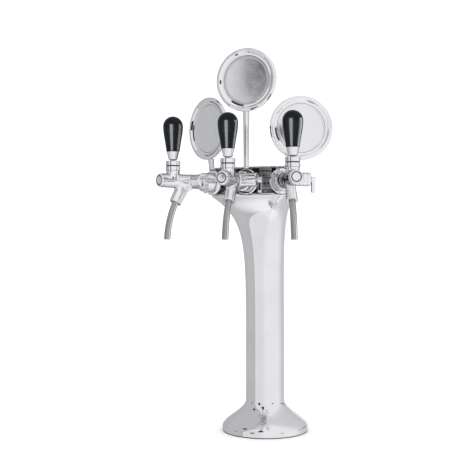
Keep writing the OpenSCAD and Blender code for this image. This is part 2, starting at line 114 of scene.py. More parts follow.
def joined(name, parts):
    """One piece from several, which share a body and a material."""
    bpy.ops.object.select_all(action="DESELECT")
    for part in parts:
        part.select_set(True)
    bpy.context.view_layer.objects.active = parts[0]
    bpy.ops.object.join()
    piece = parts[0]
    piece.name = piece.data.name = name
    piece.data.transform(piece.matrix_world)
    piece.matrix_world = Matrix.Identity(4)
    return piece


def rounded(corners, closed=True, per_turn=24):
    """Corners (r, z, fillet radius) as a smooth outline of points and normals."""
    out, count = [], len(corners)
    for k, (r, z, fillet) in enumerate(corners):
        here = np.array([r, z], float)
        if not closed and k in (0, count - 1):
            other = np.array(corners[1 if k == 0 else count - 2][:2], float)
            d = (other - here) if k == 0 else (here - other)
            d /= np.linalg.norm(d)
            out.append((*here, d[1], -d[0]))
            continue
        before = np.array(corners[k - 1][:2], float) - here
        after = np.array(corners[(k + 1) % count][:2], float) - here
        room = min(np.linalg.norm(before), np.linalg.norm(after))
        before, after = before / np.linalg.norm(before), after / np.linalg.norm(after)
        half = math.acos(max(-1, min(1, before @ after))) / 2
        if half > math.pi / 2 - STRAIGHT:
            out.append((*here, after[1], -after[0]))
            continue
        reach = min(fillet / math.tan(half), room * EDGE_SHARE)
        radius = reach * math.tan(half)
        middle = before + after
        centre = here + middle / np.linalg.norm(middle) * radius / math.sin(half)
        start, end = here + before * reach - centre, here + after * reach - centre
        swing = math.pi - 2 * half
        steps = max(2, round(per_turn * swing / (2 * math.pi)))
        side = math.copysign(1, start[0] * end[1] - start[1] * end[0])
        for i in range(steps + 1):
            a = side * swing * i / steps
            c, s = math.cos(a), math.sin(a)
            p = np.array([start[0] * c - start[1] * s, start[0] * s + start[1] * c])
            out.append((*(centre + p), *(p / radius)))
    return out


def curve_outline(points):
    """Open outline through points, with normals from its own slope."""
    p = np.array(points, float)
    d = np.gradient(p, axis=0)
    d /= np.linalg.norm(d, axis=1, keepdims=True)
    return [(*q, t[1], -t[0]) for q, t in zip(p, d)]


def lathe(name, outline, closed=True, sides=96, matrix=Matrix.Identity(4), hexes=()):
    """Turns an outline of (r, z, normal r, normal z) about z. Rings numbered in hexes are six-sided."""
    a = np.arange(sides) * 2 * math.pi / sides
    points, normals, rings = [], [], []
    for k, (r, z, nr, nz) in enumerate(outline):
        if r < ON_AXIS:
            rings.append([len(points)])
            points.append((0, 0, z))
            normals.append((0, 0, nz or 1))
            continue
        rr = r * np.ones(sides)
        if k in hexes:
            rr = r / np.cos((a + math.pi / 6) % (math.pi / 3) - math.pi / 6)
        rings.append(range(len(points), len(points) + sides))
        points += list(zip(rr * np.cos(a), rr * np.sin(a), z * np.ones(sides)))
        normals += list(zip(nr * np.cos(a), nr * np.sin(a), nz * np.ones(sides)))
    faces = []
    for k in range(len(rings) if closed else len(rings) - 1):
        p, q = rings[k], rings[(k + 1) % len(rings)]
        for i in range(sides):
            j = (i + 1) % sides
            if len(p) > 1 and len(q) > 1:
                faces.append((p[i], p[j], q[j], q[i]))
            elif len(q) > 1:
                faces.append((p[0], q[j], q[i]))
            elif len(p) > 1:
                faces.append((p[i], p[j], q[0]))
    return make(name, points, faces, None if hexes else normals, matrix)


def loft(name, rings):
    """A closed skin over rings of points, the last of which joins the first."""
    rings = np.array(rings)
    levels, n = rings.shape[:2]
    faces = []
    for k in range(levels):
        a, b = k * n, ((k + 1) % levels) * n
        faces += [(a + j, a + (j + 1) % n, b + (j + 1) % n, b + j) for j in range(n)]
    return make(name, rings.reshape(-1, 3), faces)


def solid(name, field, low, high, step, matrix=Matrix.Identity(4)):
    """The surface where a distance field is zero: an even quad skin pulled onto the field."""
    axes = [np.arange(low[k], high[k] + step, step) for k in range(3)]
    grid = np.stack(np.meshgrid(*axes, indexing="ij"), -1)
    value = field(grid)
    inside = value < 0
    shape = np.array(value.shape) - 1
    corner = [(i, j, k) for i in (0, 1) for j in (0, 1) for k in (0, 1)]

    def at(array, c):
        return array[tuple(slice(c[m], c[m] + shape[m]) for m in range(3))]

    count = sum(at(inside, c).astype(int) for c in corner)
    active = (count > 0) & (count < 8)
    total, hits = np.zeros((*shape, 3)), np.zeros(shape)
    for c in corner:
        for m in range(3):
            if c[m]:
                continue
            d = tuple(c[i] + (i == m) for i in range(3))
            va, vb = at(value, c), at(value, d)
            crossed = (va < 0) != (vb < 0)
            t = np.where(crossed, va / np.where(va == vb, 1, va - vb), 0)
            for i in range(3):
                total[..., i] += crossed * (c[i] + (t if i == m else 0))
            hits += crossed
    cells = np.argwhere(active)
    place = cells + total[active] / hits[active][:, None]
    points = np.array(low) + place * step
    number = -np.ones(shape, int)
    number[active] = np.arange(len(cells))
    faces = []
    for m in range(3):
        p, q = [i for i in range(3) if i != m]
        near = [slice(1, shape[i]) for i in range(3)]
        near[m] = slice(0, shape[m])
        far = list(near)
        far[m] = slice(1, shape[m] + 1)
        hit = np.argwhere(inside[tuple(near)] != inside[tuple(far)])
        hit[:, p] += 1
        hit[:, q] += 1
        ring = []
        for dp, dq in ((-1, -1), (0, -1), (0, 0), (-1, 0)):
            cell = hit.copy()
            cell[:, p] += dp
            cell[:, q] += dq
            ring.append(number[tuple(cell.T)])
        faces.append(np.stack(ring, 1))

    def slope(x):
        reach = PROBE * np.eye(3)
        return np.stack([(field(x + d) - field(x - d)) / (2 * PROBE) for d in reach], -1)

    for _ in range(PULLS):
        g = slope(points)
        squared = np.maximum((g * g).sum(-1, keepdims=True), LEAST_SLOPE)
        pull = -field(points)[:, None] * g / squared
        size = np.linalg.norm(pull, axis=-1, keepdims=True)
        points = points + pull * np.minimum(1, PULL_LIMIT * step / np.maximum(size, NONZERO))
    g = slope(points)
    g /= np.maximum(np.linalg.norm(g, axis=-1, keepdims=True), NONZERO)
    return make(name, points, np.concatenate(faces).tolist(), g, matrix)


# ---------------------------------------------------------------- distance fields
def tube_x(p, low, high, r, edge=0.0):
    """A cylinder along x from low to high, with its end corners rounded by edge."""
    d = np.hypot(p[..., 1], p[..., 2]) - r + edge
    e = np.abs(p[..., 0] - (low + high) / 2) - (high - low) / 2 + edge
    return np.minimum(np.maximum(d, e), 0) + np.hypot(np.maximum(d, 0), np.maximum(e, 0)) - edge


def cone_x(p, low, high, r1, r2):
    """A cone along x, from radius r1 at low to r2 at high."""
    t = (p[..., 0] - low) / (high - low)
    slope = math.hypot(r2 - r1, high - low) / (high - low)
    d = (np.hypot(p[..., 1], p[..., 2]) - r1 - (r2 - r1) * t) / slope
    return np.maximum(d, np.abs(p[..., 0] - (low + high) / 2) - (high - low) / 2)


def upright(p, x):
    """Coordinates with x along the upward axis at x on the tap's middle plane."""
    return np.stack([p[..., 2], p[..., 0] - x, p[..., 1]], -1)


def crosswise(p, x, z=0.0):
    """Coordinates with x along the tap's cross axis through (x, z)."""
    return np.stack([p[..., 1], p[..., 0] - x, p[..., 2] - z], -1)


def tilted(p, x, z, angle):
    """Coordinates with x up the slope of the spout's socket from its mouth."""
    c, s = math.cos(math.radians(angle)), math.sin(math.radians(angle))
    u, w = p[..., 0] - x, p[..., 2] - z
    return np.stack([w * c - u * s, u * c + w * s, p[..., 1]], -1)


def box_field(p, low, high, edge):
    """A box between two corners, with its edges rounded by edge."""
    low, high = np.array(low, float), np.array(high, float)
    q = np.abs(p - (low + high) / 2) - (high - low) / 2 + edge
    return np.linalg.norm(np.maximum(q, 0), axis=-1) + np.minimum(q.max(-1), 0) - edge


def melt(a, b, r):
    """Union with a fillet of about r."""
    h = np.maximum(r - np.abs(a - b), 0) / r
    return np.minimum(a, b) - h * h * r / 4


def cut(a, b, r=0.0):
    """a without b, with the rim rounded by about r."""
    return -melt(-a, b, r) if r else np.maximum(a, -b)


def soft_corner(a, b, r):
    """What lies in both a and b, with the corner between them rounded by about r."""
    corner = np.hypot(np.maximum(a + r, 0), np.maximum(b + r, 0))
    return np.minimum(np.maximum(a, b), 0) + corner - r


# ---------------------------------------------------------------- materials
PAINTED_RIM_START, PAINTED_RIM_FULL = 0.38, 0.85  # how far a surface faces away where its painted dark rim starts and is full


class Look:
    """A procedural material in the making."""

    def __init__(self, name, slot_name):
        self.material = bpy.data.materials.new(name)
        self.material.use_nodes = True
        self.slot = slot_name
        self.tree = self.material.node_tree
        self.shader = self.tree.nodes["Principled BSDF"]
        self.coords = self.tree.nodes.new("ShaderNodeTexCoord").outputs["Object"]
        colour = SLOTS[slot_name]["base_color"]
        self.set("Base Color", (*colour, 1))
        self.material.diffuse_color = (*colour, 1)

    def set(self, socket, value):
        self.shader.inputs[socket].default_value = value
        return self

    def node(self, kind, **values):
        made = self.tree.nodes.new(kind)
        for key, value in values.items():
            setattr(made, key, value)
        return made

    def link(self, a, b):
        self.tree.links.new(a, b)

    def noise(self, scale, detail=2.0, stretch=(1, 1, 1), turned=(0, 0, 0)):
        """Noise with scale features to the metre, from 0 to 1."""
        mapping = self.node("ShaderNodeMapping")
        mapping.inputs["Scale"].default_value = stretch
        mapping.inputs["Rotation"].default_value = [math.radians(a) for a in turned]
        made = self.node("ShaderNodeTexNoise")
        made.inputs["Scale"].default_value = scale
        made.inputs["Detail"].default_value = detail
        self.link(self.coords, mapping.inputs["Vector"])
        self.link(mapping.outputs["Vector"], made.inputs["Vector"])
        return made.outputs["Fac"]

    def ranged(self, value, low, high, start=0.3, end=0.7):
        """Goes from low to high as value goes from start to end."""
        made = self.node("ShaderNodeMapRange", interpolation_type="SMOOTHSTEP")
        for key, v in (("From Min", start), ("From Max", end), ("To Min", low), ("To Max", high)):
            made.inputs[key].default_value = v
        self.link(value, made.inputs["Value"])
        return made.outputs["Result"]

    def darkened(self, factor, level):
        """Multiplies the colour by level where factor is 1."""
        made = self.node("ShaderNodeMix", data_type="RGBA", blend_type="MULTIPLY")
        self.link(factor, made.inputs["Factor"])
        self.link(self.shader.inputs["Base Color"].links[0].from_socket, made.inputs["A"])
        made.inputs["B"].default_value = (level, level, level, 1)
        self.link(made.outputs["Result"], self.shader.inputs["Base Color"])

    def painted_dark_rim(self, level):
        """Paints a dark reflection: the colour goes to level times itself where the surface turns away from sight.
        """
        facing = self.node("ShaderNodeLayerWeight")
        facing.inputs["Blend"].default_value = 0.5
        self.darkened(self.ranged(facing.outputs["Facing"], 0, 1, PAINTED_RIM_START, PAINTED_RIM_FULL), level)

    def painted_dark_along_y(self, level, start, end):
        """Paints a dark reflection: the colour goes to level times itself below start along Y, fading out by end,
        in metres.
        """
        split = self.node("ShaderNodeSeparateXYZ")
        self.link(self.coords, split.inputs[0])
        self.darkened(self.ranged(split.outputs["Y"], 1, 0, start, end), level)

    def tinted(self, factor, dark, light):
        """Colour that goes from dark to light times the record's own colour."""
        base = SLOTS[self.slot]["base_color"]
        made = self.node("ShaderNodeMix", data_type="RGBA")
        made.inputs["A"].default_value = (*[c * dark for c in base], 1)
        made.inputs["B"].default_value = (*[min(1, c * light) for c in base], 1)
        self.link(factor, made.inputs["Factor"])
        self.link(made.outputs["Result"], self.shader.inputs["Base Color"])

    def rough(self, value, extra=None):
        """Roughness from one value, or from the sum of two."""
        if extra is not None:
            total = self.node("ShaderNodeMath", operation="ADD")
            self.link(value, total.inputs[0])
            self.link(extra, total.inputs[1])
            value = total.outputs[0]
        self.link(value, self.shader.inputs["Roughness"])

    def bump(self, height, depth):
        """Relief of depth metres."""
        made = self.node("ShaderNodeBump")
        made.inputs["Strength"].default_value = 1.0
        made.inputs["Distance"].default_value = depth
        self.link(height, made.inputs["Height"])
        if self.shader.inputs["Normal"].is_linked:
            self.link(self.shader.inputs["Normal"].links[0].from_socket, made.inputs["Normal"])
        self.link(made.outputs["Normal"], self.shader.inputs["Normal"])


def chrome(name, slot_name, rough, ripple, scratch, edge):
    """Polished plate: smudges between two roughnesses, a ripple and polishing lines, and a painted dark reflection
    at its rims, down to edge times the colour.
    """
    look = Look(name, slot_name).set("Metallic", 1.0)
    lines = look.noise(900, 2, (1, 1, 0.06), (12, 4, 0))
    look.rough(look.ranged(look.noise(38, 4), *rough, 0.35, 0.7), look.ranged(lines, 0, 0.02, 0.6, 0.75))
    look.tinted(look.ranged(look.noise(16, 3), 0, 1), 0.96, 1.02)
    # painted dark reflection where the surface turns away from sight
    look.painted_dark_rim(edge)
    look.bump(look.noise(55, 1), ripple)
    look.bump(lines, scratch)
    return look


# the last number of each finish is the level of its painted dark rim
column_chrome = chrome("column_chrome", "column_chrome", (0.05, 0.1), 1.2e-5, 3e-7, 0.85)
bright_chrome = chrome("bright_chrome", "bright_chrome", (0.012, 0.04), 6e-7, 1e-7, 0.07)
# the head band's chrome: a strong painted dark rim, and a painted dark reflection over its front that fades out
# towards the back
band_chrome_painted_dark = chrome("band_chrome_painted_dark", "bright_chrome", (0.012, 0.03), 6e-7, 1e-7, 0.5)
band_chrome_painted_dark.painted_dark_along_y(0.26, -0.088, -0.03)

# the plates are turned, so their fine rings go by the distance from the plate's own axis
look = satin_plate = Look("satin_plate", "satin_plate").set("Metallic", 1.0)
flat_radius = look.node("ShaderNodeVectorMath", operation="MULTIPLY")
flat_radius.inputs[1].default_value = (1, 1, 0)
look.link(look.coords, flat_radius.inputs[0])
radius = look.node("ShaderNodeVectorMath", operation="LENGTH")
look.link(flat_radius.outputs[0], radius.inputs[0])
rings = look.node("ShaderNodeTexNoise", noise_dimensions="1D")
rings.inputs["Scale"].default_value = 2600
rings.inputs["Detail"].default_value = 3
look.link(radius.outputs["Value"], rings.inputs["W"])
rings = rings.outputs["Fac"]
look.rough(look.ranged(rings, 0.16, 0.24), look.ranged(look.noise(45, 3), 0, 0.05))
look.tinted(look.ranged(rings, 0, 1), 1.04, 1.18)
look.bump(rings, 1.5e-6)

look = spout_steel = Look("spout_steel", "spout_steel").set("Metallic", 1.0)
grain = look.noise(1500, 3, (1, 1, 0.03))
look.rough(look.ranged(grain, 0.17, 0.23), look.ranged(look.noise(60, 3), 0, 0.04))
look.tinted(look.ranged(grain, 0, 1), 0.95, 1.05)
look.bump(grain, 1e-7)

look = steel = Look("steel", "steel").set("Metallic", 1.0)
grain = look.noise(1100, 2, (1, 1, 0.2))
look.rough(look.ranged(grain, 0.16, 0.27), look.ranged(look.noise(70, 3), 0, 0.07))
look.tinted(look.ranged(look.noise(90, 4), 0, 1), 0.88, 1.06)
look.bump(grain, 1.5e-6)

look = black_grip = Look("black_grip", "black_grip").set("Specular IOR Level", 0.09)
scuffs = look.noise(1300, 2, (1, 1, 0.1), (30, 20, 0))
look.rough(look.ranged(look.noise(60, 4), 0.17, 0.22), look.ranged(scuffs, 0, 0.05, 0.6, 0.75))
look.tinted(look.ranged(look.noise(30, 3), 0, 1), 0.2, 0.35)
look.bump(look.noise(240, 2), 2.5e-6)

look = rubber = Look("rubber", "rubber").set("Specular IOR Level", 0.3)
look.rough(look.ranged(look.noise(400, 4), 0.65, 0.85))
look.tinted(look.ranged(look.noise(60, 4), 0, 1), 0.8, 1.5)
look.bump(look.noise(1800, 3), 2e-5)

look = foam = Look("foam", "foam").set("Specular IOR Level", 0.25)
cells = look.node("ShaderNodeTexVoronoi")
cells.inputs["Scale"].default_value = 900
look.link(look.coords, cells.inputs["Vector"])
look.rough(look.ranged(look.noise(200, 3), 0.8, 0.95))
look.tinted(look.ranged(cells.outputs["Distance"], 0, 1, 0, 0.6), 0.7, 1.4)
look.bump(cells.outputs["Distance"], 1.5e-4)

look = hose = Look("hose", "hose").set("Specular IOR Level", 0.45)
look.rough(look.ranged(look.noise(120, 3), 0.28, 0.42))
look.tinted(look.ranged(look.noise(40, 3), 0, 1), 0.9, 1.02)
look.bump(look.noise(500, 2, (1, 1, 0.1)), 6e-6)

look = nylon = Look("nylon", "nylon").set("Specular IOR Level", 0.4)
look.rough(look.ranged(look.noise(300, 3), 0.4, 0.55))
look.tinted(look.ranged(look.noise(80, 4), 0, 1), 0.92, 1.03)
look.bump(look.noise(900, 2), 8e-6)

all_looks = (column_chrome, bright_chrome, satin_plate, spout_steel, steel)
all_looks += (black_grip, rubber, foam, hose, nylon)
LOOKS = {look.slot: look for look in all_looks}
node_slots = {part["node"]: part["material_slot"] for part in frame["record"]["subparts"]}


def finished(piece, slot_name, body, *nodes):
    """Gives a new piece its material, its body and the CAD nodes that it stands for."""
    piece.data.materials.clear()
    piece.data.materials.append(LOOKS[slot_name].material)
    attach(piece, body)
    if nodes:
        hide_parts(*nodes)
    return piece


for node_name, cad in frame["nodes"].items():
    cad.data.materials.clear()
    cad.data.materials.append(LOOKS[node_slots[node_name]].material)

# ---------------------------------------------------------------- column
TUBE_R, FOOT_R, FOOT_H, HOOD_START, HOOD_TOP, WALL = 38, 85, 62, 190, 467, 2.5
LIP_TOP, SHOULDER_H, SHOULDER_IN, BLEND = 9, 9, 5, 3
LOBE_X, LOBE_Y, LOBE_SHRINK, BACK_SHRINK = 54, 75, 10, 2
FLARE_END = HOOD_TOP - 5
GENTLE, LATE = 0.28, 0.72  # shares of the widening that go by the square and the eighth power
FOOT_POWER = 0.85  # power of the height in the foot's cosine curve
SKIN_FOOT, FOOT_EDGE = 1.5, 0.8  # where the skin starts, and the radius of its lower edge
TINY = 1e-3  # radians either side, for the outline's slope
RING_POINTS = 256


def flare(z):
    """How far the hood has widened at height z, from 0 to 1."""
    u = np.clip((z - HOOD_START) / (FLARE_END - HOOD_START), 0, 1)
    return GENTLE * u**2 + LATE * u**8


def foot_radius(z):
    t = np.clip((z - LIP_TOP) / (FOOT_H - LIP_TOP), 0, 1)
    return TUBE_R + (FOOT_R - TUBE_R) * np.cos(math.pi / 2 * t**FOOT_POWER) ** 2


def column_reach(z, a):
    """Distance from the axis to the outline's tangent that faces direction a, at height z."""
    base, f = foot_radius(z), flare(z)
    w = [base - f * BACK_SHRINK]
    for s in (-1, 1):
        w.append(f * (s * LOBE_X * np.cos(a) - LOBE_Y * np.sin(a)) + base - f * LOBE_SHRINK)
    mean = sum(np.exp(v / BLEND) for v in w) / len(w)
    return BLEND * np.log(mean) + BLEND * math.log(len(w)) * f


def column_ring(z, inset):
    """The column's outline at height z, moved inward by inset."""
    a = np.arange(RING_POINTS) * 2 * math.pi / RING_POINTS
    h = column_reach(z, a) - inset
    s = (column_reach(z, a + TINY) - column_reach(z, a - TINY)) / (2 * TINY)
    x, y = h * np.cos(a) - s * np.sin(a), h * np.sin(a) + s * np.cos(a)
    return np.stack([x, y, z * np.ones(RING_POINTS)], 1)


levels = []  # height, and how far inward the outline lies there
for t in np.linspace(0, math.pi / 2, 5):
    levels.append((SKIN_FOOT + FOOT_EDGE * (1 - math.cos(t)), FOOT_EDGE * (1 - math.sin(t))))
for low, high, count in ((2.6, LIP_TOP - 1.2, 4), (LIP_TOP - 0.9, FOOT_H + 2, 44),
                         (FOOT_H + 8, HOOD_START - 4, 12),
                         (HOOD_START, HOOD_TOP - SHOULDER_H - 0.8, 90)):
    levels += [(z, 0) for z in np.linspace(low, high, count)]
for t in np.linspace(0, math.pi / 2, 12):
    levels.append((HOOD_TOP - SHOULDER_H + SHOULDER_H * math.sin(t), SHOULDER_IN * (1 - math.cos(t))))
skin = [column_ring(z, inset) for z, inset in levels]
lining = [column_ring(z, inset + WALL) for z, inset in reversed(levels)]
finished(loft("column_skin", skin + lining), "column_chrome", "root", "column_shell")

# ---------------------------------------------------------------- head
LOBE_R, BACK_R, HEAD_WALL, HEAD_H, LID_T = 23, 31, 3, 50.5, 3
BAND_H = HEAD_H - LID_T
GAP = 0.05  # how far the band and the lid each stay back from where they meet
SHANK_HOLE = 11.15  # radius of the holes that the taps' shanks go through
LUG_IN = 3.5  # from the band's inside to the centre of a screw lug
ARC_POINTS, FRONT_POINTS, HOLE_SIDES = 56, 12, 40
side_angle = math.atan2(LOBE_Y, -LOBE_X) - math.acos((LOBE_R - BACK_R) / math.hypot(LOBE_X, LOBE_Y))


def head_ring(z, grow):
    """The head's outline at height z, grown outward: three arcs and straight sides between them."""
    arcs = ((LOBE_X, -LOBE_Y, LOBE_R, -math.pi / 2, side_angle),
            (0, 0, BACK_R, side_angle, math.pi - side_angle),
            (-LOBE_X, -LOBE_Y, LOBE_R, math.pi - side_angle, 1.5 * math.pi))
    points = []
    for x, y, r, start, end in arcs:
        for a in np.linspace(start, end, ARC_POINTS):
            points.append((x + (r + grow) * math.cos(a), y + (r + grow) * math.sin(a), z))
    across = np.linspace(-LOBE_X, LOBE_X, FRONT_POINTS)[1:-1]
    return np.array(points + [(x, -LOBE_Y - LOBE_R - grow, z) for x in across])


def edge_levels(low, high, radius):
    """Heights and outline growth of a wall with rounded bottom and top edges."""
    turns = np.linspace(0, math.pi / 2, 5)
    edge = [(radius * (1 - math.cos(t)), -radius * (1 - math.sin(t))) for t in turns]
    bottom = [(low + rise, grow) for rise, grow in edge]
    top = [(high - drop, grow) for drop, grow in edge[::-1]]
    return bottom + [(low + radius + 0.15, 0), (high - radius - 0.15, 0)] + top


band = [head_ring(HOOD_TOP + z, grow) for z, grow in edge_levels(0, BAND_H - GAP, 0.7)]
band += [head_ring(HOOD_TOP + z, -HEAD_WALL) for z in (BAND_H - GAP, 0)]
boss = rounded([(SHANK_HOLE, -13.5, 0.2), (20, -13.5, 0.2), (20, 0, 0.5), (SHANK_HOLE, 0, 0.4)])
seat = rounded([(SHANK_HOLE, -16, 0.3), (16, -16, 0.5), (16, -6, 0.3), (SHANK_HOLE, -6, 0.3)])
shell = [loft("band", band)]
for side in SIDES:
    shell += [lathe("boss", outline, matrix=TAPS[side] @ ALONG) for outline in (boss, seat)]
head_shell = finished(joined("head_band_shell", shell), "bright_chrome", "root", "head_band")
# the head band takes the chrome with the painted dark reflections
head_shell.data.materials[0] = band_chrome_painted_dark.material

lug_places = [(0, BACK_R - HEAD_WALL - LUG_IN)]
lug_places += [(s * (LOBE_X + LOBE_R - HEAD_WALL - LUG_IN), 8 - LOBE_Y) for s in (-1, 1)]


def plate_with_holes(name, outline_levels, holes):
    """A plate between two outlines, with holes given as a place (x, y) and rings of (z, radius)."""
    bm = bmesh.new()

    def skirt(rings):
        for lower, upper in zip(rings, rings[1:]):
            for j in range(len(lower)):
                i = (j + 1) % len(lower)
                bm.faces.new((lower[j], lower[i], upper[i], upper[j]))
        return [[bm.edges.get((ring[j], ring[(j + 1) % len(ring)])) for j in range(len(ring))]
                for ring in (rings[0], rings[-1])]

    edges = skirt([[bm.verts.new(p * MM) for p in head_ring(z, g)] for z, g in outline_levels])
    turns = np.arange(HOLE_SIDES) * 2 * math.pi / HOLE_SIDES
    for (x, y), steps in holes:
        rings = [[bm.verts.new(Vector((x + r * math.cos(a), y + r * math.sin(a), z)) * MM)
                  for a in turns] for z, r in steps]
        for rim, found in zip(edges, skirt(rings)):
            rim += found
    for ring in edges:
        bmesh.ops.triangle_fill(bm, edges=ring, use_beauty=True, use_dissolve=False)
    bmesh.ops.recalc_face_normals(bm, faces=bm.faces)
    mesh = bpy.data.meshes.new(name)
    bm.to_mesh(mesh)
    bm.free()
    mesh.shade_smooth()
    piece = bpy.data.objects.new(name, mesh)
    bpy.context.scene.collection.objects.link(piece)
    weighted = piece.modifiers.new("even", "WEIGHTED_NORMAL")
    weighted.weight = 90
    return piece


LID_Z = HOOD_TOP + BAND_H
lid_levels = [(LID_Z + z, g) for z, g in edge_levels(GAP, LID_T, 1.1)]
countersunk = [(LID_Z + GAP, 2.25), (LID_Z + LID_T - 2.2, 2.25),
               (LID_Z + LID_T - 0.15, 4.2), (LID_Z + LID_T, 4.4)]
lid = plate_with_holes("head_lid_plate", lid_levels, [(place, countersunk) for place in lug_places])
finished(lid, "bright_chrome", "root", "head_lid")

SOCKET_RINGS = (1, 2, 3, 4)  # corners of the screw's outline that belong to its six-sided socket
corners = [(0, -1.5), (1.2, -1.5), (1.25, -1.3), (1.25, -0.35), (1.4, -0.14), (3.7, -0.14),
           (3.95, -0.3), (1.95, -2.2), (1.95, -9.6), (1.6, -10), (0, -10)]
outline = [(r, z, 0, 0) for r, z in corners]
screws = [lathe("screw", outline, closed=False, sides=48, matrix=shift(x, y, HOOD_TOP + HEAD_H),
                hexes=SOCKET_RINGS) for x, y in lug_places]
screws = joined("lid_screw_heads", screws)
screws.data.set_sharp_from_angle(angle=math.radians(35))
finished(screws, "steel", "root", "head_lid_screws")


# ---------------------------------------------------------------- turned parts on all three taps
def on_all_taps(name, outline, place, slot_name, *nodes, sides=96):
    """One piece made of the same turned part on each tap."""
    parts = [lathe("part", outline, sides=sides, matrix=TAPS[side] @ place) for side in SIDES]
    return finished(joined(name, parts), slot_name, "root", *nodes)


flange = [(SHANK_HOLE, 4.08, 0.2), (24, 4.08, 0.4), (24, 7, 0.7), (22.5, 9, 0.4), (19.4, 9, 0.2),
          (19.0, 8.55, 0.2), (SHANK_HOLE, 8.55, 0.2)]
on_all_taps("flange_rings", rounded(flange), ALONG, "bright_chrome", "tap_flanges", sides=128)
nut = [(11.05, 9.05, 0.15), (16.5, 9.05, 0.3), (18, 11, 0.8), (18, 13.2, 0.15), (17.5, 13.6, 0.15),
       (17.5, 14.4, 0.15), (18, 14.8, 0.15), (18, 28, 0.9), (16, 30, 0.5), (13.35, 30, 0.3),
       (13.35, 18.2, 0.1), (14.25, 18.2, 0.1), (14.25, 14.05, 0.1), (11.05, 14.05, 0.1)]
on_all_taps("coupling_rings", rounded(nut), ALONG, "bright_chrome", "coupling_nuts", sides=128)
nose = [(0, 116, 0.1), (7.95, 116, 0.3), (7.95, 122.08, 0.1), (12.2, 122.08, 0.3), (12.2, 126.5, 0.7),
        (10.7, 128, 0.5), (9.4, 128, 0.2), (9.4, 127, 0.15), (7.6, 127, 0.15), (7.6, 128, 0.25),
        (7.0, 128, 0.15), (7.0, 127.2, 0.1), (0, 127.2, 0.1)]
on_all_taps("nose_rings", rounded(nose, closed=False), ALONG, "bright_chrome", "nose_caps")
inlay = [(7.62, 126.9, 0.2), (9.38, 126.9, 0.2), (9.38, 127.5, 0.4), (7.62, 127.5, 0.4)]
on_all_taps("nose_inlays", rounded(inlay), ALONG, "rubber")

DISC_R, DISC_FACE, DISC_FALL = 6.95, 128.25, 0.009  # the crowned face falls by DISC_FALL times r squared
disc = [(0, 127.25, 0, -1), (DISC_R, 127.25, 0, -1), (DISC_R, 127.3, 1, 0), (DISC_R, 127.75, 1, 0)]
for r in np.linspace(6.85, 0, 12):
    slope = 2 * DISC_FALL * r
    tip = math.hypot(1, slope)
    disc.append((r, DISC_FACE - DISC_FALL * r * r, slope / tip, 1 / tip))
for side in SIDES:
    piece = lathe(f"nose_disc_{side}", disc, closed=False, sides=64, matrix=TAPS[side] @ ALONG)
    finished(piece, "satin_plate", "root")


def groove(r, z, depth, width):
    """Corners of a small round groove on an outer wall, going up."""
    low, high = z + 0.15, z + width - 0.15
    return [(r, z, 0.2), (r - depth, low, 0.15), (r - depth, high, 0.15), (r, z + width, 0.2)]


BALL_SEAT = 9.4  # radius of the hollow that the handle's ball sits in
bonnet = [(10.6, 18.68, 0.2), (13.5, 18.68, 0.5)] + groove(13.5, 26, 1.6, 2.2)
bonnet += [(13.5, 35.5, 0.6), (12.5, 36.5, 0.12), (12.22, 36.5, 0.08), (12.2, 35.4, 0.2),
           (8.45, 32.5, 0.15)]
for a in np.radians([21, 14, 7, 1.5]):
    bonnet.append((BALL_SEAT * math.cos(a), PIVOT_Z + BALL_SEAT * math.sin(a), 0.05))
bonnet.append((10.6, PIVOT_Z + 0.1, 0.05))
on_all_taps("bonnet_rings", rounded(bonnet), shift(HANDLE_X), "bright_chrome", "bonnets")
seal = [(11.8, 26.1, 0.2), (12.45, 26.1, 0.5), (12.45, 28.1, 0.5), (11.8, 28.1, 0.2)]
on_all_taps("bonnet_seals", rounded(seal), shift(HANDLE_X), "rubber")


# ---------------------------------------------------------------- tap bodies
SOCKET = (92, -41, 27)  # the spout socket's mouth, x and z in the tap's frame, and its lean in degrees
GUSSET_TOP, GUSSET_FOOT = (70.7, -28.4), (84, -39)  # the line where the web under the barrel ends
WEB_HALF, WEB_EDGE = 6.3, 2.2  # half the web's width, and the radius of its edges


def under_line(p, a, b):
    """How far points lie below the line from a to b in the tap's upright plane."""
    run, rise = b[0] - a[0], b[1] - a[1]
    return ((p[..., 0] - a[0]) * rise - (p[..., 2] - a[1]) * run) / math.hypot(run, rise)


def tap_field(p):
    """The casting: barrel, neck, boss, spout socket and web, less the ways through them."""
    above, side, s = upright(p, HANDLE_X), crosswise(p, FLOW_X), tilted(p, *SOCKET)
    barrel = melt(tube_x(p, 18, 122, 13, 0.5), cone_x(p, 30.5, 42, 15, 13), 2)
    barrel = np.minimum(barrel, tube_x(p, 14.2, 19, 14, 0.3))
    neck = tube_x(above, 0, 18.6, 12.3, 0.4)
    boss = tube_x(side, 0, 20, 12.5, 0.5)
    socket = cone_x(s, 0.6, 36, 10.5, 8.9)
    arc = 30 - np.hypot(p[..., 0] - 44, p[..., 2] + 42)
    web = cut(arc, -under_line(p, GUSSET_TOP, GUSSET_FOOT), 6)
    for limit in (p[..., 2], s[..., 1] - 9.5, 3.0 - s[..., 0], 46 - p[..., 0]):
        web = np.maximum(web, limit)
    web = soft_corner(web, np.abs(p[..., 1]) - WEB_HALF, WEB_EDGE)
    body = melt(melt(barrel, neck, 3.5), boss, 3)
    body = melt(body, melt(socket, web, 4), 6)
    # each way as its axis coordinates, start, end and radius
    ways = ((p, 29, 72.2, 8), (p, 71, 75, 5.5), (p, 74.5, 130, 8), (p, 0, 31, 5.2),
            (above, 0, 30, 10.5), (upright(p, 80.5), -22, 0, 4.5),
            (s, 0, 24, 4.5), (s, -5, 12, 6.25), (side, 5.5, 30, 5.3), (side, 11, 30, 7.05))
    return cut(body, np.minimum.reduce([tube_x(*way) for way in ways]))


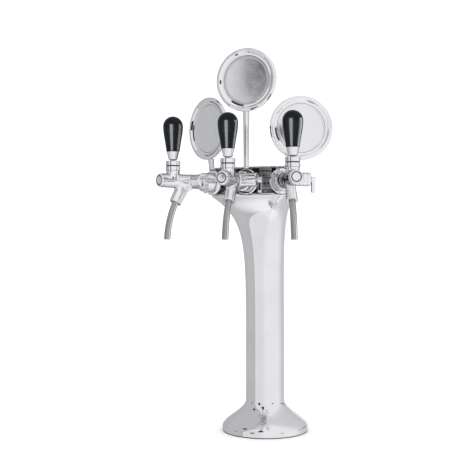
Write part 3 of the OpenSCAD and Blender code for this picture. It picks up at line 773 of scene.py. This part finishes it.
STEP = 0.8
casting = solid("tap_casting_left", tap_field, (12.9, -16, -47), (124.1, 22, 21), STEP)
for side in SIDES:
    tap = casting
    if side != SIDES[0]:
        tap = bpy.data.objects.new(f"tap_casting_{side}", casting.data.copy())
        bpy.context.scene.collection.objects.link(tap)
    tap.matrix_world = TAPS[side]
    finished(tap, "bright_chrome", "root", f"tap_body_{side}")

socket_rim = rounded([(6.3, 0, 0.4), (10.9, 0, 0.7), (10.9, 2.6, 0.5), (6.3, 2.6, 0.1)])
at_socket = shift(SOCKET[0], 0, SOCKET[1]) @ turn(-SOCKET[2], "Y")
on_all_taps("socket_rims", socket_rim, at_socket, "bright_chrome")


# ---------------------------------------------------------------- spouts
def swept(name, centre_line, sections, sides, matrix):
    """A tube skin in the xz plane: centre_line holds (x, z, angle) and sections the radius at each."""
    a = np.arange(sides) * 2 * math.pi / sides
    rings = []
    for (x, z, angle), r in zip(centre_line, sections):
        c, s = math.cos(angle), math.sin(angle)
        rings.append(np.stack([x + r * np.cos(a) * c, r * np.sin(a), z + r * np.cos(a) * s], 1))
    piece = loft(name, rings)
    piece.matrix_world = matrix
    return piece


BEND_R, TILT, END_TILT = 167, SOCKET[2], 3  # the spout's bend, and its lean in degrees at both ends
SPOUT_R, SPOUT_BORE = 6.0, 4.9


def spout_line(outer, bore):
    """Stations down the spout and back up its bore: (x, z, angle) and radius, in the tap's frame."""
    tilt = math.radians(TILT)
    along = (-math.sin(tilt), math.cos(tilt))
    centre = (SOCKET[0] - BEND_R * math.cos(tilt), SOCKET[1] - BEND_R * math.sin(tilt))

    def on_bend(angle):
        return centre[0] + BEND_R * math.cos(angle), centre[1] + BEND_R * math.sin(angle), angle

    def on_stub(d):
        return SOCKET[0] + along[0] * d, SOCKET[1] + along[1] * d, tilt

    bend = [math.radians(b) for b in np.linspace(TILT, END_TILT, 40)]
    down = [(on_stub(d), outer + 0.2) for d in (11.6, 6, 1.2, 0.3)]
    down += [(on_bend(b), outer) for b in bend]
    end = on_bend(math.radians(END_TILT))
    drop = (math.sin(end[2]), -math.cos(end[2]))
    rolled = ((0.35, outer - 0.08), (0.55, outer - 0.35), (0.5, bore + 0.3), (0.3, bore + 0.05))
    lip = [((end[0] + drop[0] * d, end[1] + drop[1] * d, end[2]), r) for d, r in rolled]
    up = [(on_bend(b), bore) for b in bend[::-1]]
    up += [(on_stub(d), bore) for d in (0.3, 6, 11.6)]
    return down + lip + up


centre_line, radii = zip(*spout_line(SPOUT_R, SPOUT_BORE))
for side in SIDES:
    piece = swept(f"spout_tube_{side}", centre_line, radii, 64, TAPS[side])
    finished(piece, "spout_steel", "root", f"spout_{side}")

# ---------------------------------------------------------------- handles
STUD_HOLE = 3.6  # radius of the hole up the ferrule and grip
ferrule = [(STUD_HOLE, 38.02, 0.1), (5.2, 38.02, 0.3), (8.0, 38.9, 1.6), (8.9, 41.6, 1.2),
           (11.35, 53.0, 0.5), (11.0, 53.9, 0.25), (STUD_HOLE, 53.9, 0.1)]
GRIP_BASE, GRIP_R, GRIP_Z, GRIP_TOP = 12.4, 18.5, 54, 119
GRIP_EDGE = 0.9  # radius of the grip's lower edge
LEAD = 0.15  # how far into its easing curve the grip's side starts
dome_z = GRIP_TOP - GRIP_R


def grip_radius(t):
    """Radius of the grip's side, from its foot at t = 0 to its dome at t = 1."""
    u = LEAD + (1 - LEAD) * t
    ease, start = u * u * (3 - 2 * u), LEAD * LEAD * (3 - 2 * LEAD)
    return GRIP_BASE + (GRIP_R - GRIP_BASE) * (ease - (1 - t) * start)


grip_line = [(STUD_HOLE, GRIP_Z), (7, GRIP_Z), (10.6, GRIP_Z)]
for a in np.linspace(0.02, 1.35, 7):
    r, z = GRIP_BASE - GRIP_EDGE + GRIP_EDGE * math.sin(a), GRIP_Z + GRIP_EDGE - GRIP_EDGE * math.cos(a)
    grip_line.append((r, z))
for t in np.linspace(0.035, 1, 40):
    grip_line.append((grip_radius(t), GRIP_Z + (dome_z - GRIP_Z) * t))
for a in np.linspace(0.06, math.pi / 2 - 0.02, 34):
    grip_line.append((GRIP_R * math.cos(a), dome_z + GRIP_R * math.sin(a)))
grip_line = curve_outline(grip_line + [(0, GRIP_TOP)])
grip_line[-1] = (0, GRIP_TOP, 0, 1)
hole_line = [(0, GRIP_Z + 6, 0, -1), (STUD_HOLE, GRIP_Z + 6, -1, 0), (STUD_HOLE, GRIP_Z + 0.3, -1, 0)]
grip_line = hole_line + grip_line

for side in SIDES:
    place = TAPS[side] @ shift(HANDLE_X)
    piece = lathe(f"handle_ferrule_{side}", rounded(ferrule), matrix=place)
    finished(piece, "bright_chrome", f"handle_{side}", f"ferrule_{side}")
    piece = lathe(f"handle_grip_{side}", grip_line, closed=False, matrix=place)
    finished(piece, "black_grip", f"handle_{side}", f"grip_{side}")

# ---------------------------------------------------------------- flow controls
housing = [(4.05, 11.25, 0.2), (7, 11.25, 0.3), (7, 20.15, 0.1), (12.5, 20.15, 0.5)]
housing += groove(12.5, 26, 0.7, 1.2) + groove(12.5, 33, 0.7, 1.2)
housing += [(12.5, 39.5, 0.6), (11, 41, 0.5), (8.6, 41, 0.2), (8.3, 40.6, 0.15), (7.7, 40.6, 0.15),
            (7.4, 41, 0.2), (4.05, 41, 0.3)]
# the arm: across to its middle plane, how far it hangs, its radius, half thickness and edge radius
ARM_AT, ARM_DROP, ARM_R, ARM_HALF, ARM_EDGE = 46.5, 20, 4, 3, 0.7


def lever_field(p):
    """The flow lever: a hub with a flat hanging arm, and its stepped spindle with an offset pin."""
    side, z = crosswise(p, FLOW_X), p[..., 2]
    arm = np.hypot(p[..., 0] - FLOW_X, np.maximum(-ARM_DROP - z, np.maximum(z, 0))) - ARM_R
    arm = soft_corner(arm, np.abs(p[..., 1] - ARM_AT) - ARM_HALF, ARM_EDGE)
    body = melt(tube_x(side, 42.5, 50.5, 5, 0.6), arm, 1.6)
    body = np.minimum(body, tube_x(side, 9, 46, 4, 0.1))
    body = np.minimum(body, tube_x(side, 6.2, 9, 5, 0.2))
    return np.minimum(body, tube_x(crosswise(p, FLOW_X, -3), 0.3, 6.8, 1.5, 0.2))


LEVER_STEP = 0.5
for side in SIDES:
    piece = lathe(f"flow_barrel_{side}", rounded(housing), matrix=TAPS[side] @ shift(FLOW_X) @ ACROSS)
    finished(piece, "bright_chrome", "root", f"flow_housing_{side}")
    piece = solid(f"flow_handle_{side}", lever_field, (FLOW_X - 6.1, -0.9, -25.1),
                  (FLOW_X + 6.1, 52, 6.1), LEVER_STEP, TAPS[side])
    finished(piece, "bright_chrome", f"flow_{side}", f"flow_lever_{side}")

# ---------------------------------------------------------------- medallions
MED_R, MED_T, PLATE_R, STEM_X = 60, 7, 45.5, 4
RISE = {"left": 106, "middle": 192, "right": 106}
LEAN = {"left": 8.5, "middle": 0, "right": -20}
rim = [(0, 0, 0.1), (MED_R - 5, 0, 2), (MED_R - 1.2, 1.1, 3), (MED_R, 3.4, 2.2),
       (MED_R - 0.2, 5.6, 1.4), (MED_R - 2.2, MED_T, 1.6), (MED_R - 4.4, MED_T + 0.7, 3),
       (MED_R - 6.8, MED_T, 1.1), (MED_R - 9.8, MED_T - 2.8, 1.2),
       (PLATE_R + 1.0, MED_T - 3.55, 0.5), (PLATE_R + 0.25, 2, 0.2), (0, 2, 0.1)]
PLATE_FACE, CROWN = 3.25, 1.1  # the plate's face, and how much higher its middle is
plate = [(0, 2.05, 0.1), (PLATE_R - 0.1, 2.05, 0.3), (PLATE_R - 0.1, PLATE_FACE, 0.35),
         (PLATE_R - 2.6, PLATE_FACE, 0.3), (PLATE_R - 3.0, 3.02, 0.2), (PLATE_R - 3.6, 3.02, 0.2),
         (PLATE_R - 4.0, PLATE_FACE, 0.3), (PLATE_R - 4.4, PLATE_FACE, 0.1)]
plate = rounded(plate, closed=False)
plate_edge = PLATE_R - 4.6
for r in np.linspace(plate_edge, 0, 24):
    slope = 2 * CROWN * r / plate_edge**2
    tip = math.hypot(1, slope)
    plate.append((r, PLATE_FACE + CROWN * (1 - (r / plate_edge) ** 2), slope / tip, 1 / tip))
STEM_Z, STEM_R, STEM_GROWTH = 24.6, 4.9, 1.1  # where a stem starts, its radius there and its gain


def bracket_field(rise):
    """A medallion's bracket: a ring round the shank, a lug, a collar and a stem to the disc."""
    top = rise - MED_R

    def field(p):
        ring = tube_x(p, 0.05, 4, 19, 0.5)
        lug = box_field(p, (0.05, -4.9, 12), (4, 4.9, 25.6), 0.5)
        q = upright(p, STEM_X)
        t = np.clip((q[..., 0] - STEM_Z) / (top - 21.6), 0, 1)
        ends = np.maximum(STEM_Z - q[..., 0], q[..., 0] - top - 2.4)
        stem = np.maximum(np.hypot(q[..., 1], q[..., 2]) - STEM_R - STEM_GROWTH * t, ends)
        collar = tube_x(q, STEM_Z, 28.6, 5.8, 0.7)
        body = melt(np.minimum(stem, collar), melt(ring, lug, 2), 1.2)
        body = cut(body, tube_x(p, -1, 5, 11.12))
        disc = np.stack([p[..., 0], p[..., 1], p[..., 2] - rise], -1)
        return cut(body, tube_x(disc, -30, 30, MED_R + 0.02))

    return field


STAND_STEP = 0.8
for side in SIDES:
    stand = TAPS[side] @ turn(LEAN[side], "X")
    place = stand @ shift(STEM_X - MED_T / 2, 0, RISE[side]) @ ALONG
    rim_line = rounded(rim, closed=False, per_turn=40)
    piece = lathe(f"medallion_rim_{side}", rim_line, closed=False, sides=192, matrix=place)
    finished(piece, "bright_chrome", "root", f"medallion_disc_{side}")
    piece = lathe(f"medallion_plate_{side}", plate, closed=False, sides=192, matrix=place)
    finished(piece, "satin_plate", "root", f"medallion_insert_{side}")
    piece = solid(f"medallion_stand_{side}", bracket_field(RISE[side]), (-2.9, -20, -20),
                  (11, 20, RISE[side] - MED_R + 3.5), STAND_STEP, stand)
    finished(piece, "bright_chrome", "root", f"medallion_bracket_{side}")

# ---------------------------------------------------------------- floor, light and camera
floor_mesh = bpy.data.meshes.new("floor")
floor_mesh.from_pydata([(-9, -9, 0), (9, -9, 0), (9, 9, 0), (-9, 9, 0)], [], [(0, 1, 2, 3)])
floor = bpy.data.objects.new("floor", floor_mesh)
bpy.context.scene.collection.objects.link(floor)
floor_look = bpy.data.materials.new("floor")
floor_look.use_nodes = True
floor_shader = floor_look.node_tree.nodes["Principled BSDF"]
floor_shader.inputs["Base Color"].default_value = (0.94, 0.94, 0.94, 1)
floor_shader.inputs["Roughness"].default_value = 0.9
floor_mesh.materials.append(floor_look)
floor.visible_glossy = False

world = bpy.data.worlds.new("studio")
bpy.context.scene.world = world
world.use_nodes = True
world.cycles.sampling_method = "NONE"
sky = world.node_tree
sky.nodes.clear()


def sky_node(kind, *inputs, **values):
    made = sky.nodes.new(kind)
    for key, value in values.items():
        setattr(made, key, value)
    for k, value in enumerate(inputs):
        if isinstance(value, (int, float)):
            made.inputs[k].default_value = value
        else:
            sky.links.new(value, made.inputs[k])
    return made.outputs[0]


def calc(operation, *values):
    """One arithmetic step on sockets or numbers."""
    return sky_node("ShaderNodeMath", *values, operation=operation)


def step_up(value, start, end):
    """Goes smoothly from 0 to 1 as value goes from start to end."""
    made = sky.nodes.new("ShaderNodeMapRange")
    made.interpolation_type = "SMOOTHSTEP"
    sky.links.new(value, made.inputs["Value"])
    made.inputs["From Min"].default_value, made.inputs["From Max"].default_value = start, end
    return made.outputs["Result"]


direction = sky.nodes.new("ShaderNodeTexCoord").outputs["Generated"]
xyz = sky.nodes.new("ShaderNodeSeparateXYZ")
sky.links.new(direction, xyz.inputs[0])
DEGREES = 180 / math.pi
azimuth = calc("ARCTAN2", xyz.outputs[0], calc("MULTIPLY", xyz.outputs[1], -1.0))
azimuth = calc("MULTIPLY", azimuth, DEGREES)
elevation = calc("MULTIPLY", calc("ARCSINE", xyz.outputs[2]), DEGREES)


def inverse(value):
    return calc("SUBTRACT", 1.0, value)


def window(value, low, high, soft):
    """1 between low and high, with edges soft to each side."""
    fall = inverse(step_up(value, high - soft, high + soft))
    return calc("MULTIPLY", step_up(value, low - soft, low + soft), fall)


def dimmed(room, mask, amount):
    return calc("SUBTRACT", room, calc("MULTIPLY", mask, amount))


# The room that glossy rays see, in degrees: 0 is straight in front, and left is negative. A darker
# wall stands to the left, the front is slightly dimmed, the right falls off towards the back, and
# straight down is a little paler.
WALL_EDGE = -41.6
floor_level = inverse(step_up(elevation, -72, -58))
left_wall = calc("MULTIPLY", window(azimuth, -170, WALL_EDGE, 0.5), inverse(floor_level))
room = dimmed(0.92, left_wall, 0.36)
room = calc("ADD", room, calc("MULTIPLY", floor_level, 0.1))
room = dimmed(room, window(azimuth, WALL_EDGE, 12, 14), 0.1)
room = dimmed(room, step_up(azimuth, 95, 150), 0.25)
# black cards, as (azimuth from, to, elevation from, to, softness, depth)
CARDS = ((-21.5, -9, 2.6, 30, 0.3, 0.97), (-70, -60, 3.2, 13, 0.5, 0.95), (60, 72, 7, 17, 0.6, 0.95),
         (118, 160, 9, 13, 0.8, 0.93), (-5, 12, 44, 66, 0.8, 0.97), (-72, -56, 50, 58, 0.8, 0.95))
for az0, az1, el0, el1, soft, depth in CARDS:
    card = calc("MULTIPLY", window(azimuth, az0, az1, soft), window(elevation, el0, el1, soft))
    room = calc("MULTIPLY", room, inverse(calc("MULTIPLY", card, depth)))

DAYLIGHT = 1.25  # level for every other ray
glossy = sky.nodes.new("ShaderNodeLightPath").outputs["Is Glossy Ray"]
level = calc("ADD", calc("MULTIPLY", room, glossy), calc("MULTIPLY", inverse(glossy), DAYLIGHT))
background = sky.nodes.new("ShaderNodeBackground")
background.inputs["Color"].default_value = (0.985, 0.99, 1.0, 1)
sky.links.new(level, background.inputs["Strength"])
output = sky.nodes.new("ShaderNodeOutputWorld")
sky.links.new(background.outputs[0], output.inputs["Surface"])


def soft_box(name, place, aim, width, height, power):
    """An area lamp of width by height metres and power watts, aimed at a point."""
    light = bpy.data.lights.new(name, "AREA")
    light.shape, light.size, light.size_y, light.energy = "RECTANGLE", width, height, power
    lamp = bpy.data.objects.new(name, light)
    bpy.context.scene.collection.objects.link(lamp)
    lamp.location = place
    lamp.rotation_euler = (Vector(aim) - Vector(place)).to_track_quat("-Z", "Y").to_euler()
    return lamp


def lit_only(group, names, *lamps):
    """Keeps some lamps to the named pieces alone."""
    lit = bpy.data.collections.new(group)
    for name in names:
        lit.objects.link(bpy.data.objects[name])
    for lamp in lamps:
        lamp.light_linking.receiver_collection = lit


lit_only("grips", [f"handle_grip_{side}" for side in SIDES],
         soft_box("grip_front", (0.05, -1.9, 0.5), (0, -0.15, 0.56), 1.1, 1.3, 190),
         soft_box("grip_side", (1.7, 0.7, 0.5), (0, -0.15, 0.56), 1.5, 1.5, 150))
lit_only("spouts", [f"spout_tube_{side}" for side in SIDES],
         soft_box("spout_side", (1.8, 0.2, 0.4), (0, -0.2, 0.4), 1.0, 1.2, 5))

bpy.context.scene.view_settings.view_transform = "Standard"
# the camera's angle round from the front in degrees, then in millimetres its distance, height,
# step to the side, lens and sensor
VIEW_AZ, VIEW_D, VIEW_H, VIEW_SIDE, LENS, SENSOR = 21.3, 1760, 384, 56, 67, 36
a = math.radians(VIEW_AZ)
camera_data = bpy.data.cameras.new("camera")
camera_data.sensor_width, camera_data.lens = SENSOR, LENS
camera = bpy.data.objects.new("camera", camera_data)
bpy.context.scene.collection.objects.link(camera)
camera_x = math.sin(a) * VIEW_D - math.cos(a) * VIEW_SIDE
camera_y = -math.cos(a) * VIEW_D - math.sin(a) * VIEW_SIDE
camera.location = Vector((camera_x, camera_y, VIEW_H)) * MM
camera.rotation_euler = (math.pi / 2, 0, a)
bpy.context.scene.camera = camera
